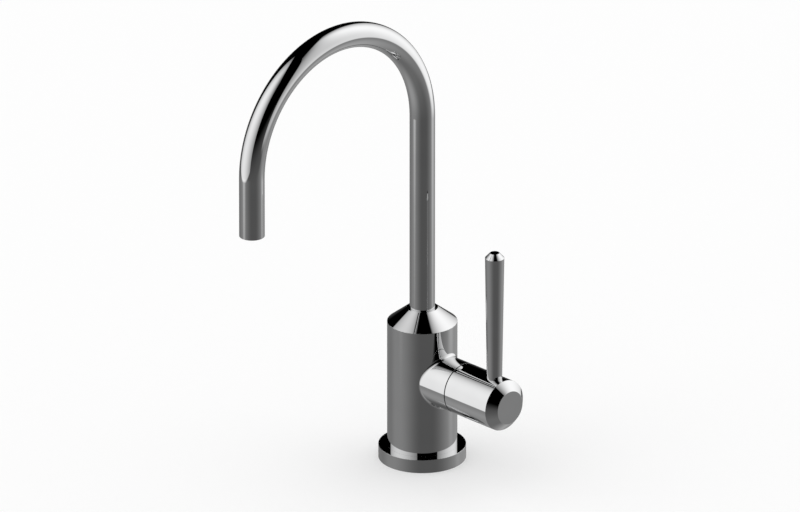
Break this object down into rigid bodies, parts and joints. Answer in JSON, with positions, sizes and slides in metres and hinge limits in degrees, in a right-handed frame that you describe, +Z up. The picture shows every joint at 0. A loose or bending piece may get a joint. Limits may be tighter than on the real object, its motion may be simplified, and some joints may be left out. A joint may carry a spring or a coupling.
{
  "type": "drinking water filter tap",
  "caption": "Deck-mounted drinking water tap: round flange, cylindrical body with conical shoulder, swivelling swan-neck spout and a slim side lever that turns a ceramic valve.",
  "frame": {"origin": "centre of the flange's underside, at the level of the worktop's top", "axes": "+Z up along the body's axis, spout towards -Y, lever barrel towards +X"},
  "size_m": [0.0968, 0.1652, 0.3383],
  "materials": {
    "chrome": "bright polished chrome plate",
    "brass": "turned",
    "rubber": "matt moulded",
    "white_plastic": "natural acetal",
    "dark_plastic": "black acetal",
    "ceramic": "lapped alumina",
    "steel": "stainless"
  },
  "bodies": {
    "tap_body": {"base_flange": "chrome", "body_shell": "chrome", "shoulder_cap": "chrome", "valve_barrel": "chrome", "cartridge_housing": "brass", "mounting_shank": "brass", "lock_nut": "brass", "deck_gasket": "rubber", "barrel_o_ring": "rubber", "housing_o_ring": "rubber", "seat_seal": "rubber", "clamp_gasket": "rubber", "lower_slide_washer": "white_plastic", "upper_slide_washer": "white_plastic", "thrust_washer": "white_plastic", "spout_guide_bush": "dark_plastic", "seam_washer": "dark_plastic", "fixed_disc": "ceramic", "clamp_washer": "steel"},
    "handle": {"handle_hub": "chrome", "lever_rod": "chrome", "grub_screw": "steel", "spindle": "brass", "moving_disc": "ceramic", "spindle_o_rings": "rubber", "spindle_clip": "steel"},
    "spout": {"spout_tube": "chrome", "spout_tail": "brass", "spout_o_rings": "rubber", "outlet_housing": "chrome", "outlet_straightener": "white_plastic", "outlet_seal": "rubber"}
  },
  "joints": [
    {"name": "handle_turn", "type": "hinge", "parent": "tap_body", "child": "handle", "pos_m": [0.045, 0, 0.0521], "axis": [1, 0, 0], "range_deg": [0, 90]},
    {"name": "spout_swivel", "type": "hinge", "parent": "tap_body", "child": "spout", "pos_m": [0, 0, 0.08], "axis": [0, 0, 1], "continuous": true}
  ]
}
